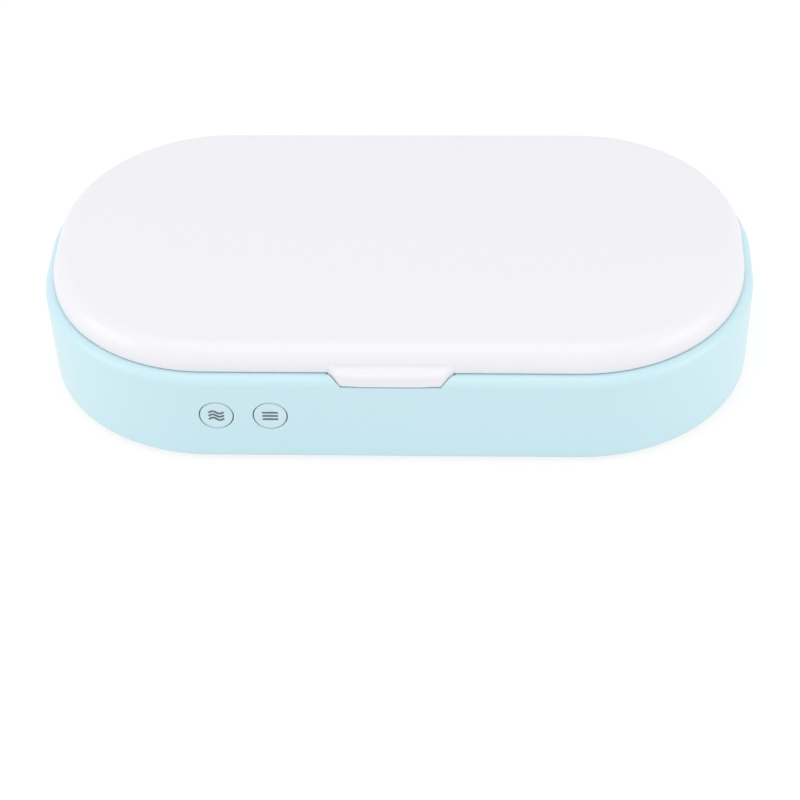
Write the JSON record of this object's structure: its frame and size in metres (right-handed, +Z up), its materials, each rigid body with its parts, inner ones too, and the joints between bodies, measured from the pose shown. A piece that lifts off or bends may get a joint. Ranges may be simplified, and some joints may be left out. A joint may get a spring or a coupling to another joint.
{
  "type": "phone sanitizer box",
  "caption": "Oblong ultraviolet sanitizer box for a phone: blue base, white hinged lid with a lifting lip, push buttons, mirrored chamber with lamp tubes.",
  "frame": {"origin": "on the surface it stands on, under the middle of the base", "axes": "+X along the length to the right, +Y to the rear where the hinges and the socket are, +Z up"},
  "size_m": [0.22, 0.1214, 0.0432],
  "materials": {
    "sky_plastic": "light blue moulded plastic with a soft gloss",
    "lid_plastic": "white moulded plastic with a soft gloss",
    "white_plastic": "white moulded plastic, satin",
    "button_plastic": "light blue button with grey printed lines",
    "mirror_sheet": "bright metallised sheet",
    "steel": "plated steel",
    "quartz_glass": "clear quartz glass",
    "clear_plastic": "clear moulded plastic",
    "foot_rubber": "pale translucent rubber",
    "boot_rubber": "white silicone rubber",
    "seal_rubber": "grey foam rubber",
    "felt": "pressed felt",
    "circuit_board": "green solder mask",
    "dark_plastic": "black moulded plastic",
    "wire_cover": "white wire insulation",
    "copper_can": "aluminium can with a dark sleeve",
    "light_lens": "milky light lens"
  },
  "bodies": {
    "base": {"base_shell": "sky_plastic", "bottom_cover": "sky_plastic", "chamber_tray": "white_plastic", "tray_mirror": "mirror_sheet", "foot_front_left": "foot_rubber", "foot_front_right": "foot_rubber", "foot_rear_left": "foot_rubber", "foot_rear_right": "foot_rubber", "cover_screws": "steel", "tray_screws": "steel", "base_magnet_left": "steel", "base_magnet_right": "steel", "front_lamp_tube": "quartz_glass", "rear_lamp_tube": "quartz_glass", "front_lamp_caps": "steel", "rear_lamp_caps": "steel", "lamp_boot_front_left": "boot_rubber", "lamp_boot_front_right": "boot_rubber", "lamp_boot_rear_left": "boot_rubber", "lamp_boot_rear_right": "boot_rubber", "front_reflector": "mirror_sheet", "rear_reflector": "mirror_sheet", "phone_rail_left": "clear_plastic", "phone_rail_middle": "clear_plastic", "phone_rail_right": "clear_plastic", "scent_pad": "felt", "scent_grille": "white_plastic", "main_board": "circuit_board", "charging_socket": "steel", "lamp_transformer": "dark_plastic", "board_capacitors": "copper_can", "control_chip": "dark_plastic", "board_connectors": "white_plastic", "board_screws": "steel", "left_lamp_wires": "wire_cover", "right_lamp_wires": "wire_cover", "key_cable": "dark_plastic", "key_board": "circuit_board", "key_board_screws": "steel", "sterilize_switch": "dark_plastic", "scent_switch": "dark_plastic", "lid_sensor": "dark_plastic", "button_lights": "light_lens", "hinge_pin_left": "steel", "hinge_pin_right": "steel"},
    "lid": {"lid_shell": "lid_plastic", "lid_liner": "white_plastic", "lid_mirror": "mirror_sheet", "lid_seal": "seal_rubber", "lid_magnet_left": "steel", "lid_magnet_right": "steel", "lid_screws": "steel"},
    "sterilize_button": {"sterilize_button": "button_plastic", "sterilize_plunger": "dark_plastic"},
    "scent_button": {"scent_button": "button_plastic", "scent_plunger": "dark_plastic"}
  },
  "joints": [
    {"name": "lid_hinge", "type": "hinge", "parent": "base", "child": "lid", "pos_m": [0, 0.05891, 0.0322], "axis": [-1, 0, 0], "range_deg": [0, 105]},
    {"name": "sterilize_button_press", "type": "slide", "parent": "base", "child": "sterilize_button", "axis": [0, 1, 0], "range_m": [0, 0.0006], "stiffness_N_per_m": 400},
    {"name": "scent_button_press", "type": "slide", "parent": "base", "child": "scent_button", "axis": [0, 1, 0], "range_m": [0, 0.0006], "stiffness_N_per_m": 400}
  ]
}
